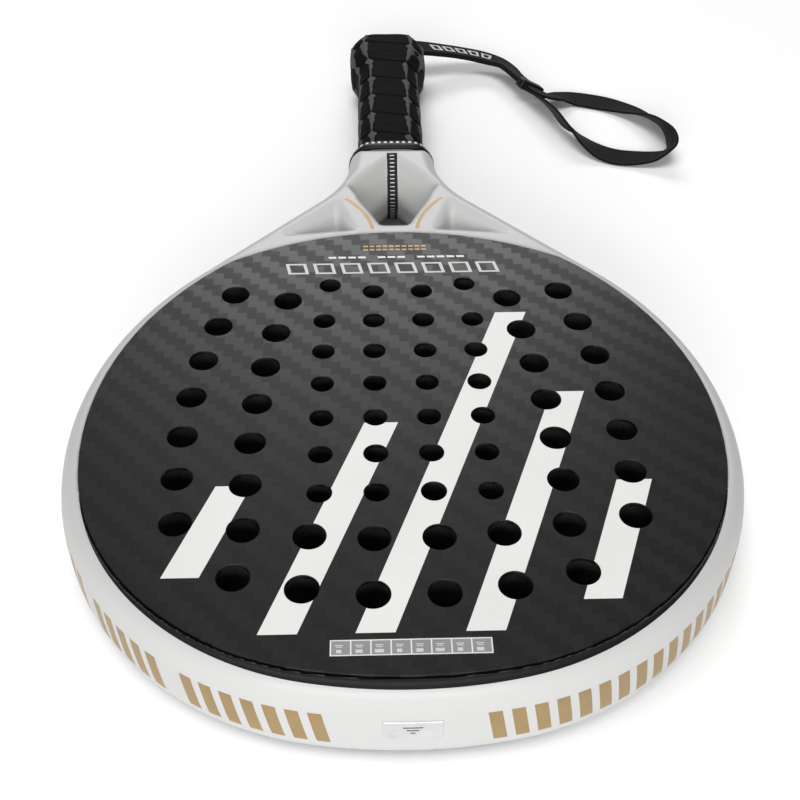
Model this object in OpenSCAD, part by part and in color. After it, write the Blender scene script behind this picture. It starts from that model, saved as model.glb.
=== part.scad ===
// Padel racket with a hollow moulded frame, a drilled foam head between two
// carbon skins, a taped handle and a wrist strap with a sliding keeper.
// Lying on its rear face: X across the head, Y from the tip to the butt, Z up.

/* [Head] */
// Width of the head at its widest
head_w = 260; // [215:1:312]
// Thickness over both faces
head_t = 38; // [31.5:0.1:45]
// Tip of the head to the top edge of the face
face_len = 248.5; // [240:0.5:256]
// Radius of the outline at the tip
tip_r = 198; // [180:1:235]
// Radius of the outline along each side
side_r = 150; // [140:1:175]
// Radius of the face's top edge, below the throat
top_edge_r = 140; // [125:1:165]

/* [Frame tube] */
// Width of the frame tube, seen from above
tube_w = 16; // [14:0.1:19.2]
// Wall of the frame tube
tube_wall = 2; // [1.4:0.1:2.6]
// Width of the bevel between the face and the side
bevel_w = 8; // [6.8:0.1:9.6]

/* [Faces and core] */
// Thickness of each carbon skin
skin_t = 1.5; // [1:0.1:2]
// Gap between the foam core and the frame tube
core_gap = 0.2; // [0.1:0.1:0.4]
// Gap between each skin and the frame tube
skin_gap = 0.2; // [0.15:0.05:0.4]
// Gap between pieces that are bonded together
bond_gap = 0.1; // [0.05:0.05:0.2]

/* [Holes] */
// Diameter of the small holes, in the middle
small_d = 9; // [7.5:0.5:11]
// Diameter of the large holes, around them
large_d = 11.6; // [9.5:0.1:14]
// Spacing of the columns of small holes
column_pitch = 20.8; // [20:0.1:25]
// Spacing of the rows of small holes
row_pitch = 19.6; // [16.4:0.1:20]

/* [Throat] */
// Angle at which each throat arm leaves the head
arm_angle = 132.5; // [131:0.5:135]
// Half the width of the fork where the handle starts
fork_half_w = 22; // [20.5:0.5:25]
// Radius of the inward curve between arm and handle
fork_r = 60; // [52:1:72]
// Radius of the gold line along each rib
stripe_r = 42; // [38:1:50]
// Width of the damper strip in the fork
strip_w = 5.2; // [4.4:0.1:6.2]

/* [Handle] */
// Length of the handle, from the fork to the butt
handle_len = 134; // [112:1:161]
// Width of the wrapped handle
grip_w = 34.6; // [32:0.2:38]
// Thickness of the wrapped handle
grip_h = 31; // [29:0.5:33]
// Width of the butt at its widest
butt_w = 44; // [41:0.5:48]
// Thickness of the butt at its widest
butt_h = 33.2; // [32:0.2:35]
// Thickness of the cushioned base grip
base_grip_t = 1.8; // [1.4:0.02:2.16]
// Thickness of the overgrip
overgrip_t = 0.7; // [0.5:0.1:0.9]
// Width of the rubber collar along the handle
collar_len = 6.6; // [5.5:0.1:7]

/* [Strap] */
// Width of the strap webbing
strap_w = 15; // [12.5:0.5:16]
// Thickness of one layer of webbing
strap_t = 1.4; // [1.2:0.1:1.6]
// Length of the keeper along the strap
keeper_len = 6; // [5:0.5:7]

/* [Hidden] */
$fn = 72;
cut = 1;                       // how far a cutting tool overshoots
mid_z = head_t / 2;

// Outline of the head, as arcs that meet in tangents. An angle is that of the
// outward normal, measured from the tip round to the handle.
tip_angle = 10.3;              // where the tip arc meets the shoulder arc
side_angle = 82.1;             // where the shoulder arc meets the side arc
function out(a) = [sin(a), -cos(a)];
shoulder_r = (head_w / 2 - side_r * (1 - sin(side_angle)) - tip_r * sin(tip_angle))
             / (sin(side_angle) - sin(tip_angle));
tip_c = [0, tip_r];
shoulder_c = tip_c + (tip_r - shoulder_r) * out(tip_angle);
side_c = shoulder_c + (shoulder_r - side_r) * out(side_angle);

// Throat: a straight arm, then an inward curve that ends parallel to the handle.
arm_n = out(arm_angle);
arm_start = side_c + side_r * arm_n;
arm_line = arm_start * arm_n;  // distance of the arm's outer line from the origin
fork_c = [fork_half_w + fork_r, (arm_line + fork_r - arm_n.x * (fork_half_w + fork_r)) / arm_n.y];
arm_end = fork_c - fork_r * arm_n;
arm_len = norm(arm_end - arm_start);
fork_y = fork_c.y;
total_len = fork_y + handle_len;
in_line = arm_line - tube_w;   // the same line along the arm's inner wall

// Sections of the frame tube and of the space inside it, as [distance outwards
// from the outline, height], point for point.
rim_z = 0.4;                   // how far the bevel starts below the face
half_section = [[-tube_w, skin_t], [-bevel_w, skin_t], [-bevel_w, rim_z], [-bevel_w * 0.56, 1.8],
                [-2, 4.6], [-0.4, 10], [0, mid_z - 3]];
half_void = [[-tube_w + tube_wall, skin_t + tube_wall], [-bevel_w - 0.6, skin_t + tube_wall],
             [-bevel_w + 0.2, skin_t + tube_wall], [-bevel_w * 0.56 - 0.9, 2 + tube_wall],
             [-2 - 0.9 * tube_wall, 4.8 + 0.8 * tube_wall], [-0.4 - tube_wall, 10 + 0.3 * tube_wall],
             [-tube_wall, mid_z - 3]];
function both_halves(h) = concat(h, [for (i = [len(h) - 1 : -1 : 0]) [h[i].x, head_t - h[i].y]]);
tube_section = both_halves(half_section);
tube_void = both_halves(half_void);

// The tube's path from the tip to the fork, as [point of the outline, angle].
function along_arc(centre, r, from, to, n) =
    [for (i = [0 : n - 1]) let (a = from + (to - from) * i / n) [centre + r * out(a), a]];
path_half = concat(along_arc(tip_c, tip_r, 0, tip_angle, 2),
                   along_arc(shoulder_c, shoulder_r, tip_angle, side_angle, 16),
                   along_arc(side_c, side_r, side_angle, arm_angle, 10),
                   [[arm_start, arm_angle]],
                   along_arc(fork_c, -fork_r, arm_angle, 90, 6), [[fork_c - [fork_r, 0], 90]]);
path = concat([for (i = [len(path_half) - 1 : -1 : 1])
                   let (q = path_half[i]) [[-q[0].x, q[0].y], -q[1]]],
              path_half);

// Moves the model from the tip of the head to the middle of its length.
module placed() translate([0, (badge_proud - total_len) / 2, 0]) children();
module both_sides() { children(); mirror([1, 0, 0]) children(); }

// ---- Head ----

module frame_tube() color("whitesmoke") placed() {
    n = len(path);
    m = len(tube_section);
    points = [for (ring = [tube_section, tube_void], s = path, p = ring)
        let (at = s[0] + p.x * out(s[1])) [at.x, at.y, p.y]];
    walls = [for (k = [0 : n - 2], i = [0 : m - 1])
        let (j = (i + 1) % m, v = n * m)
        each [[k * m + i, k * m + j, k * m + m + j, k * m + m + i],
              [v + k * m + m + i, v + k * m + m + j, v + k * m + j, v + k * m + i]]];
    ends = [for (i = [0 : m - 1])
        let (j = (i + 1) % m, v = n * m, last = (n - 1) * m)
        each [[i, v + i, v + j, j], [last + j, v + last + j, v + last + i, last + i]]];
    polyhedron(points, concat(walls, ends), convexity = 10);
}

// Points of a head outline set in by d, from the tip round to the end of its
// top edge; the top edge is set in by top_d.
function arc_points(centre, r, from, to, n) = [for (q = along_arc(centre, r, from, to, n)) q[0]];
function meet_angle(d, top_d) =
    let (c1 = side_c, r1 = side_r - d, c2 = [0, face_len - top_edge_r], r2 = top_edge_r - top_d,
         v = c2 - c1, gap = norm(v), along = (r1 * r1 - r2 * r2 + gap * gap) / (2 * gap),
         h = sqrt(r1 * r1 - along * along), u = v / gap,
         p = c1 + along * u + h * [-u.y, u.x], q = c1 + along * u - h * [-u.y, u.x])
    p.x + p.y > q.x + q.y ? p : q;
function head_half(d, top_d) =
    let (m = meet_angle(d, top_d), side_end = atan2(m.x - side_c.x, side_c.y - m.y),
         c2 = [0, face_len - top_edge_r], top_end = atan2(m.x, c2.y - m.y))
    concat(arc_points(tip_c, tip_r - d, 0, tip_angle, 3),
           arc_points(shoulder_c, shoulder_r - d, tip_angle, side_angle, 24),
           arc_points(side_c, side_r - d, side_angle, side_end, 16),
           arc_points(c2, top_edge_r - top_d, top_end, 180, 12),
           [[0, face_len - top_d]]);
module head_outline(d, top_d) {
    half = head_half(d, top_d);
    polygon(concat(half, [for (i = [len(half) - 2 : -1 : 1]) [-half[i].x, half[i].y]]));
}

// Holes: a grid of small ones, then columns and rows of large ones on arcs.
grid_y = 145.7;                // tip to the middle row of the grid
grid_rows = 3;                 // rows on each side of the middle row
end_shift = [-0.1 * column_pitch, 4.7];  // how far the grid's outer corner holes are moved
outer_column = [83.7, 109.5, 322];   // how far out and along its arc is widest, its radius
inner_column = [58.1, 94.5, 495];
column_top = [203.4, 198.8];   // tip to the last hole of each column
column_holes = 7;
large_pitch = 21.8;
lower_row = [65, 375, 22.8];   // tip to the row, its radius, spacing
last_row = [40.3, 213, 24.1];
function column_holes_at(column, top, pitch) =
    let (c = [column.x - column[2], column.y], first = asin((top - column.y) / column[2]))
    [for (i = [0 : column_holes - 1])
        c + column[2] * [cos(first - i * pitch / column[2] * 180 / PI),
                         sin(first - i * pitch / column[2] * 180 / PI)]];
function row_holes_at(row, n) =
    [for (i = [0 : n - 1])
        [0, row.x + row.y] + row.y * out((i + 0.5) * row[2] / row.y * 180 / PI)];
large_holes = concat(column_holes_at(outer_column, column_top.x, large_pitch + 0.1),
                     column_holes_at(inner_column, column_top.y, large_pitch - 0.2),
                     row_holes_at(lower_row, 2), row_holes_at(last_row, 3));
small_holes = [for (row = [-grid_rows : grid_rows], col = [0.5, 1.5])
    row == grid_rows && col > 1 ? [column_pitch * col, grid_y + row_pitch * row] + end_shift
                                : [column_pitch * col, grid_y + row_pitch * row]];
module hole_set(low, high) both_sides() {
    h = high - low + 2 * cut;
    for (p = small_holes) translate([p.x, p.y, low - cut]) cylinder(d = small_d, h = h);
    for (p = large_holes) translate([p.x, p.y, low - cut]) cylinder(d = large_d, h = h);
}

core_top = 10;                 // how far the core stops short of the face's top edge
module foam_core() color("dimgray") placed()
    difference() {
        translate([0, 0, skin_t]) linear_extrude(head_t - 2 * skin_t)
            head_outline(tube_w + core_gap, core_top + core_gap);
        hole_set(skin_t, head_t - skin_t);
    }
module skin(low) difference() {
    translate([0, 0, low]) linear_extrude(skin_t) head_outline(bevel_w + skin_gap, 0);
    hole_set(low, low + skin_t);
}
module front_face() color([0.16, 0.16, 0.17]) placed()
    difference() {
        skin(head_t - skin_t);
        label_solid(bond_gap);
    }
module rear_face() color([0.13, 0.13, 0.14]) placed() skin(0);

label_size = [52.5, 6.2, 0.12];
label_y = 19.3;                // tip to the middle of the label
module label_solid(gap) {
    size = label_size + [2 * gap, 2 * gap, 0];
    translate([-size.x / 2, label_y - size.y / 2, head_t - label_size.z])
        cube(size + [0, 0, gap > 0 ? cut : 0]);
}
module spec_label() color("lightgray") placed() label_solid(0);

badge_size = [19.4, 9.4];
badge_proud = 0.5;             // how far the badge stands out of the tip
module tip_badge() color("silver") placed()
    translate([-badge_size.x / 2, -badge_proud, mid_z + 1 - badge_size.y / 2])
        cube([badge_size.x, badge_proud - bond_gap / 2, badge_size.y]);

// ---- Throat ----

apex_y = fork_y - 19.3;        // tip to the top of the throat opening
wedge_y = fork_y - 6.3;        // tip to the top of the V-shaped recess
wedge_turn = 38.7;             // angle of each side of the V from the middle line
wedge_slope = 60;              // slope of the recess towards the opening
apex_half_w = 2;
throat_in = 0.4;               // how far the throat lies below the faces
module wedge(side)             // everything above one sloped side of the V
    translate([0, wedge_y, head_t - throat_in - 0.8]) rotate([0, 0, side * -wedge_turn])
        rotate([0, side * wedge_slope, 0]) translate([side > 0 ? -90 : 0, -120, 0]) cube([90, 160, 60]);
module v_cut() intersection() { wedge(1); wedge(-1); }
module both_faces() { children(); translate([0, 0, head_t]) mirror([0, 0, 1]) children(); }

module fork_crotch() color("gainsboro") placed()
    difference() {
        translate([0, 0, throat_in + 0.8]) linear_extrude(head_t - 2 * throat_in - 1.6)
            polygon([[-fork_half_w, fork_y], [-fork_half_w, apex_y - 14], [-apex_half_w - 8, apex_y - 14],
                     [-apex_half_w, apex_y], [apex_half_w, apex_y], [apex_half_w + 8, apex_y - 14],
                     [fork_half_w, apex_y - 14], [fork_half_w, fork_y]]);
        both_sides() translate([fork_c.x, fork_c.y, -cut])
            cylinder(r = fork_r + tube_w + bond_gap, h = head_t + 2 * cut, $fn = 180);
        both_faces() v_cut();
        strip_solid(bond_gap);
    }

opening_y = face_len + 7.5;    // tip to the near edge of the throat opening
opening_half_w = 6;
rib_w = 8;                     // width of each rib between the opening and a pocket
arm_web = 2;                   // how far a pocket stays clear of the arm
pocket_depth = 11;
// Points on the arm's inner wall, set in by d: at height y, or at distance x from the middle.
function on_arm(y, d) = [(in_line - d - arm_n.y * y) / arm_n.x, y];
function arm_at(x, d) = [x, (in_line - d - arm_n.x * x) / arm_n.y];
rib_top = arm_at(14, bond_gap);
module bridge_plan() {
    low = face_len - 42;
    inner = on_arm(low, bond_gap);
    polygon([[-inner.x, low], [inner.x, low], rib_top, [opening_half_w, opening_y],
             [-opening_half_w, opening_y], [-rib_top.x, rib_top.y]]);
}
module pocket() translate([0, 0, head_t - pocket_depth]) linear_extrude(pocket_depth + cut)
    polygon([[opening_half_w + rib_w + 6, opening_y - 2], [on_arm(face_len, arm_web).x, face_len],
             arm_at(rib_top.x + rib_w, arm_web), [rib_top.x + rib_w - 2, rib_top.y - 8]]);
module throat_bridge() color("white") placed()
    difference() {
        translate([0, 0, throat_in]) linear_extrude(head_t - 2 * throat_in) bridge_plan();
        translate([0, face_len - top_edge_r, -cut])
            cylinder(r = top_edge_r - core_top, h = head_t + 2 * cut, $fn = 180);
        both_faces() translate([0, face_len - top_edge_r, head_t - skin_t])
            cylinder(r = top_edge_r + bond_gap, h = skin_t + cut, $fn = 180);
        both_faces() both_sides() pocket();
        both_sides() translate([side_c.x, side_c.y, -cut]) difference() {
            cylinder(r = side_r + 40, h = head_t + 2 * cut, $fn = 180);
            translate([0, 0, -cut]) cylinder(r = side_r - tube_w - bond_gap, h = head_t + 4 * cut, $fn = 180);
            translate([0, 0, -cut]) rotate([0, 0, arm_angle - 90])
                cube([2 * side_r, 2 * side_r, head_t + 4 * cut]);
        }
    }

stripe_c = [51.9, face_len - 2];
stripe_t = 0.1;
module rib_stripes() color("tan") placed()
    both_faces() both_sides() intersection() {
        translate([stripe_c.x, stripe_c.y, head_t - throat_in]) rotate_extrude(angle = 33, start = 138)
            translate([stripe_r - 0.6, 0]) square([1.2, stripe_t]);
        translate([0, 0, -cut]) linear_extrude(head_t + 2 * cut) bridge_plan();
    }

// The damper strip runs down the middle of the V and round the crotch's edge.
strip_t = 1.2;
strip_start = 1.5;             // how far it reaches under the finishing tape
valley = tan(wedge_slope) * sin(wedge_turn);   // fall of the V along its middle line
function strip_line(d) =       // one face's half of its path, at height d over the V
    let (top = head_t - throat_in - 0.8)
    [[fork_y - 0.2, top - strip_t + d], [wedge_y + 0.4 * d, top - strip_t + d],
     [apex_y - d, top - strip_t - valley * (wedge_y - apex_y) + 0.2 * d],
     [apex_y - d, mid_z]];
module strip_solid(gap) {
    upper = strip_line(strip_t);
    lower = strip_line(-gap);
    half = concat(upper, [for (i = [len(lower) - 1 : -1 : 0]) lower[i]]);
    w = strip_w + 2 * gap;
    both_faces() translate([-w / 2, 0, 0]) rotate([90, 0, 90]) linear_extrude(w) polygon(half);
}
module damper_strip() color([0.2, 0.2, 0.2]) placed() strip_solid(0);

// ---- Handle ----

// An eight-sided handle section, as half width, half height and corner.
fork_flare = [[0, fork_half_w - 1.6, mid_z - 2.8, 8], [4, fork_half_w - 2.4, mid_z - 3.1, 7.8],
              [12, fork_half_w - 5, mid_z - 4, 7]];
grip_start = 12;               // fork to the start of the grips
grip_corner = 7;
butt_stations = [[-44, 0, 0], [-36, 0.04, 0.1], [-30, 0.42, 0.5], [-24, 0.88, 0.9], [-18, 1, 1],
                 [-6, 1, 1]];  // distance from the butt, how much of the flare is there
butt_end = [[-2.2, 21, 16, 8.2], [0, 18.8, 14.6, 7.2]];
function grown(s, d) = [s[0], s[1] + d, s[2] + d, s[3] + d * (2 - sqrt(2))];
function shifted(s, y) = [s[0] + y, s[1], s[2], s[3]];
grip_sections = concat(
    [[fork_y + grip_start + 2 * bond_gap, grip_w / 2, grip_h / 2, grip_corner]],
    [for (b = butt_stations) [total_len + b[0], grip_w / 2 + b[1] * (butt_w - grip_w) / 2,
                              grip_h / 2 + b[2] * (butt_h - grip_h) / 2, grip_corner + b[1]]],
    [for (b = butt_end) shifted(b, total_len)]);
flare_sections = [for (f = fork_flare) shifted(f, fork_y)];
function ring8(s) = let (w = s[1], h = s[2], c = s[3])
    [for (p = [[w, c - h], [w, h - c], [w - c, h], [c - w, h], [-w, h - c], [-w, c - h],
               [c - w, -h], [w - c, -h]]) [p.x, s[0], mid_z + p.y]];
module loft(sections) {
    n = len(sections);
    points = [for (s = sections) each ring8(s)];
    sides = [for (k = [0 : n - 2], i = [0 : 7])
        [k * 8 + i, k * 8 + (i + 1) % 8, (k + 1) * 8 + (i + 1) % 8, (k + 1) * 8 + i]];
    polyhedron(points, concat([[for (i = [7 : -1 : 0]) i]], sides, [[for (i = [0 : 7]) (n - 1) * 8 + i]]),
               convexity = 4);
}
function stretched(s, d) =     // the same sections, longer by d at both ends
    [for (i = [0 : len(s) - 1]) i == 0 ? shifted(s[i], -d) : i == len(s) - 1 ? shifted(s[i], d) : s[i]];
module sleeve(sections, outer, inner) difference() {
    loft([for (s = sections) grown(s, -outer)]);
    loft([for (s = stretched(sections, cut)) grown(s, -inner)]);
}

shell_wall = 2.2;
grips_t = overgrip_t + base_grip_t + 2 * bond_gap;
shell_section = grown([0, grip_w / 2, grip_h / 2, grip_corner], -grips_t);
shell_end = 13;                // butt to the end of the handle shell
shell_sections = concat(
    [for (f = flare_sections) f],
    [shifted(shell_section, fork_y + grip_start + bond_gap), shifted(shell_section, total_len - shell_end)]);
module shell_bore(low, high, gap)
    loft([shifted(grown(shell_section, gap), low), shifted(grown(shell_section, gap), high)]);
module handle_shell() color([0.25, 0.25, 0.26]) placed()
    difference() {
        loft(shell_sections);
        shell_bore(fork_y + 3, total_len, -shell_wall);
    }
module handle_foam() color("khaki") placed()
    shell_bore(fork_y + 3 + bond_gap, total_len - shell_end - 1, -shell_wall - bond_gap);

cap_start = 32;                // butt to the mouth of the cap's skirt
pin_d = 4;
pin_back = 8.5;                // butt to the strap pin
pin_len = 19;
slot_gap = 0.4;
function cap_sections() = concat(
    [[total_len - cap_start, shell_section[1] + 0.9, shell_section[2] + 0.9, shell_section[3] + 0.5]],
    [for (s = grip_sections) if (s[0] > total_len - cap_start + 2) grown(s, -grips_t - bond_gap)]);
module butt_cap() color([0.1, 0.1, 0.1]) placed()
    difference() {
        loft(cap_sections());
        shell_bore(total_len - cap_start - cut, total_len - shell_end + bond_gap, bond_gap);
        translate([-strap_w / 2 - slot_gap, total_len - shell_end, mid_z - strap_t - slot_gap])
            cube([strap_w + 2 * slot_gap, shell_end + cut, 2 * (strap_t + slot_gap)]);
        translate([-strap_w / 2 - slot_gap, total_len - shell_end, mid_z - pin_d])
            cube([strap_w + 2 * slot_gap, shell_end - pin_back + pin_d, 2 * pin_d]);
        translate([-pin_len / 2 - bond_gap, total_len - pin_back, mid_z]) rotate([0, 90, 0])
            cylinder(d = pin_d + bond_gap, h = pin_len + 2 * bond_gap);
    }
module strap_pin() color("silver") placed()
    translate([-pin_len / 2, total_len - pin_back, mid_z]) rotate([0, 90, 0])
        cylinder(d = pin_d, h = pin_len);

module base_grip() color([0.12, 0.12, 0.12]) placed()
    difference() {
        loft([for (s = grip_sections) grown(s, -overgrip_t - bond_gap)]);
        loft(cap_sections_grown());
        shell_bore(fork_y, total_len - cap_start, bond_gap);
    }
function cap_sections_grown() = [for (s = stretched(cap_sections(), cut)) grown(s, bond_gap)];
module overgrip() color([0.17, 0.17, 0.18]) placed() sleeve(grip_sections, 0, overgrip_t);

tape_t = 0.5;
collar_t = 2;
collar_at = 3.6;               // fork to the collar
function between(s, y) =       // the flare's section at distance y from the fork
    let (i = y < s[1][0] ? 0 : 1, k = (y - s[i][0]) / (s[i + 1][0] - s[i][0])) s[i] + k * (s[i + 1] - s[i]);
function flare_part(from, to) = [for (f = concat([between(fork_flare, from)],
    [for (s = fork_flare) if (s[0] > from && s[0] < to) s], [between(fork_flare, to)])) shifted(f, fork_y)];
module finishing_tape() color("gray") placed()
    sleeve(flare_part(0.6, grip_start - 0.3), -tape_t - 2 * bond_gap, -2 * bond_gap);
module collar_ring() color([0.08, 0.08, 0.08]) placed()
    sleeve(flare_part(collar_at, collar_at + collar_len), -tape_t - 3 * bond_gap - collar_t,
           -tape_t - 3 * bond_gap);

staple_at = 13;                // butt to the staples that hold the base grip's end
staple_wire = 0.8;
staple_span = 9;
module grip_staples() color("silver") placed()
    for (x = [-4, 4]) translate([x, total_len - staple_at, mid_z + shell_section[2] + 2 + bond_gap])
        staple();
module staple() {
    translate([0, -staple_span / 2, 0]) rotate([-90, 0, 0])
        cylinder(d = staple_wire, h = staple_span, $fn = 16);
    for (y = [-1, 1]) translate([0, y * (staple_span - staple_wire) / 2, -1.2])
        cylinder(d = staple_wire, h = 1.2, $fn = 16);
}

// ---- Wrist strap ----

// Route of the strap as [x, y from the butt, z, roll]; the roll turns the
// webbing about its own length, 0 lying flat.
stem_route = [[0, -6, 19, 0], [0, 2, 19, 0], [3, 8, 18.8, 0], [10, 12.5, 18.2, 0], [21, 15, 16.8, 2],
              [32, 17, 14.5, 4], [44, 19, 11.6, 6], [56, 19, 9, 8], [66, 15, 7.8, 14],
              [72.4, 8.4, 7.5, 25], [76, 0.8, 7.5, 33], [81, -9.7, 7.5, 33], [86, -20.2, 7.5, 33]];
loop_route = [[86.6, -20.6, 8.3, 33], [88.8, -24, 7.9, 27], [92.4, -25.8, 7, 20], [96.6, -25.2, 5.6, 13],
              [102, -22.4, 3.6, 6], [109, -20.6, 1.7, 2],
              [118, -22.6, 1.2, 0], [127, -26.2, 1.2, 0], [135.5, -31.6, 1.8, 6], [143, -39, 3, 14],
              [149, -49, 5, 30], [152.8, -60, 7.2, 52], [155, -71, 8, 76], [156, -80, 8, 100],
              [153.4, -86.2, 6.4, 136], [146, -88, 3.4, 164], [136, -87, 1.7, 176], [126, -85, 1.2, 180],
              [118, -81, 1.9, 174], [110.5, -74.5, 4.2, 156], [103.6, -65.5, 7.2, 134],
              [97.6, -54.5, 8.1, 118], [93.2, -43, 8.1, 124], [90, -33.5, 7.4, 136],
              [87.5, -26, 6.6, 144], [85.6, -21.2, 6.5, 147]];
steps = 3;                     // rings between two points of a route
function bend(a, b, c, d, t) = // a smooth curve from b to c
    0.5 * (2 * b + (c - a) * t + (2 * a - 5 * b + 4 * c - d) * t * t + (3 * b - a - 3 * c + d) * t * t * t);
function smooth(r) = let (n = len(r))
    [for (i = [0 : n - 2], k = [0 : steps - 1])
        bend(r[max(i - 1, 0)], r[i], r[i + 1], r[min(i + 2, n - 1)], k / steps), r[n - 1]];
function place_of(q) = [q[0], q[1] + total_len, q[2]];
function unit(v) = v / norm(v);
function strap_ring(q, along, w, t) =
    let (side = unit(cross([0, 0, 1], along)), up = unit(cross(along, side)),
         n = cos(q[3]) * up + sin(q[3]) * side, across = cross(along, n), e = t * 0.3)
    [for (p = [[w / 2, e - t / 2], [w / 2, t / 2 - e], [w / 2 - e, t / 2], [e - w / 2, t / 2],
               [-w / 2, t / 2 - e], [-w / 2, e - t / 2], [e - w / 2, -t / 2], [w / 2 - e, -t / 2]])
        place_of(q) + p.x * across + p.y * n];
module ribbon(route, w, t) {
    line = smooth(route);
    n = len(line);
    points = [for (i = [0 : n - 1])
        let (along = unit(place_of(line[min(i + 1, n - 1)]) - place_of(line[max(i - 1, 0)])))
        each strap_ring(line[i], along, w, t)];
    sides = [for (k = [0 : n - 2], i = [0 : 7])
        let (a = k * 8 + i, b = k * 8 + (i + 1) % 8)
        each [[a, a + 8, b + 8], [a, b + 8, b]]];
    polyhedron(points, concat([[for (i = [0 : 7]) i]], sides, [[for (i = [7 : -1 : 0]) (n - 1) * 8 + i]]),
               convexity = 8);
}
module strap_stem() color([0.14, 0.14, 0.14]) placed() ribbon(stem_route, strap_w, 2 * strap_t);
module strap_loop() color([0.14, 0.14, 0.14]) placed() ribbon(loop_route, strap_w, strap_t);

// The keeper is a short flat tube around both layers of the stem's last stretch.
keeper_wall = 1.1;
keeper_gap = 0.3;
keeper_from = stem_route[10];
keeper_to = stem_route[12];
keeper_dir = unit(place_of(keeper_to) - place_of(keeper_from));
keeper_back = 4.2;             // end of the stem to the middle of the keeper
module strap_keeper() color([0.05, 0.05, 0.05]) placed() {
    centre = place_of(keeper_to) - keeper_back * keeper_dir;
    inner = [strap_w + 2 * keeper_gap, 2 * (strap_t + keeper_gap)];
    outer = inner + 2 * keeper_wall * [1, 1];
    translate(centre) rotate([0, 0, atan2(keeper_dir.y, keeper_dir.x)]) rotate([-keeper_to[3], 0, 0])
        rotate([90, 0, 90]) linear_extrude(keeper_len, center = true) difference() {
            square(outer, center = true);
            square(inner, center = true);
        }
}

frame_tube();
fork_crotch();
throat_bridge();
foam_core();
front_face();
rear_face();
rib_stripes();
damper_strip();
tip_badge();
spec_label();
handle_shell();
handle_foam();
butt_cap();
base_grip();
overgrip();
finishing_tape();
collar_ring();
grip_staples();
strap_pin();
strap_stem();
strap_loop();
strap_keeper();
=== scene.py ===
import math
import bmesh
import bpy
import numpy as np
from mathutils import Matrix, Vector


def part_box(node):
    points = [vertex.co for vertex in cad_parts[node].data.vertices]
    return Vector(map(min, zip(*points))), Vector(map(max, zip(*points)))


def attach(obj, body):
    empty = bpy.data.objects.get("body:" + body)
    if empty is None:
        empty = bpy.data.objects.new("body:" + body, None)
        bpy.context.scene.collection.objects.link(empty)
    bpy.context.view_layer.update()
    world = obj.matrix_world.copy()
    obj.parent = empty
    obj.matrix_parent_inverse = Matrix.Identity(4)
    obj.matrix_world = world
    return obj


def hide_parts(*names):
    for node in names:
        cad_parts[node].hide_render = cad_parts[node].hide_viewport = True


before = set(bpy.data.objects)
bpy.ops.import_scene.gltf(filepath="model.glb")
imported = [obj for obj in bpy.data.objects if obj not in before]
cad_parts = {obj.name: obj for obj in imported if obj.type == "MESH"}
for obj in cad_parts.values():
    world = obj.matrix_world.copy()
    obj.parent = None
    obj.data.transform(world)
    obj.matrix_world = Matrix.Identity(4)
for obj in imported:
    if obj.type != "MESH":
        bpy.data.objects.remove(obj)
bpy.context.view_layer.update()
mm = 0.001

# ---- Camera ----
# A long view over the tip of the head, low enough to see the whole length of
# the racket and its near side.
camera_right = Vector((0.99966, -0.0261, 0.00245))
camera_up = Vector((0.01602, 0.68225, 0.73095))
camera_data = bpy.data.cameras.new("camera")
camera_data.lens = 54.615
camera_data.sensor_width = 36
camera = bpy.data.objects.new("camera", camera_data)
bpy.context.collection.objects.link(camera)
camera_back = camera_right.cross(camera_up).normalized()
camera_up = camera_back.cross(camera_right).normalized()
camera.matrix_world = Matrix.Translation((-0.01051, -0.43852, 0.36212)) @ Matrix((
    (camera_right.x, camera_up.x, camera_back.x, 0),
    (camera_right.y, camera_up.y, camera_back.y, 0),
    (camera_right.z, camera_up.z, camera_back.z, 0),
    (0, 0, 0, 1)))
bpy.context.scene.camera = camera

# ---- Studio ----
# A plain pale floor and soft light from all round. One soft box stands beyond
# the butt and lights the upper part of the face by reflection, one hangs
# overhead and a wide one stands low in front of the tip.
def new_material(name, roughness=0.5, metallic=0.0, specular=0.5):
    material = bpy.data.materials.new(name)
    material.use_nodes = True
    nodes = material.node_tree.nodes
    shader = nodes["Principled BSDF"]
    shader.inputs["Roughness"].default_value = roughness
    shader.inputs["Metallic"].default_value = metallic
    shader.inputs["Specular IOR Level"].default_value = specular
    return material, nodes, material.node_tree.links, shader

def link_mesh(name, verts, faces, smooth=True):
    mesh = bpy.data.meshes.new(name)
    mesh.from_pydata([tuple(v) for v in verts], [], [tuple(f) for f in faces])
    mesh.validate()
    mesh.update()
    if smooth:
        mesh.shade_smooth()
    piece = bpy.data.objects.new(name, mesh)
    bpy.context.collection.objects.link(piece)
    return piece

floor_half = 6.0
floor = link_mesh("floor", [(-floor_half, -floor_half, 0), (floor_half, -floor_half, 0),
                            (floor_half, floor_half, 0), (-floor_half, floor_half, 0)], [(0, 1, 2, 3)])
pale_floor, _, _, shader = new_material("pale_floor", 0.9)
shader.inputs["Base Color"].default_value = (0.97, 0.97, 0.97, 1)
floor.data.materials.append(pale_floor)

def soft_box(name, place, aim, size, power):
    light = bpy.data.lights.new(name, "AREA")
    light.shape = "RECTANGLE"
    light.size, light.size_y = size
    light.energy = power
    lamp = bpy.data.objects.new(name, light)
    bpy.context.collection.objects.link(lamp)
    lamp.location = place
    lamp.rotation_euler = (Vector(aim) - Vector(place)).to_track_quat("-Z", "Y").to_euler()

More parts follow.
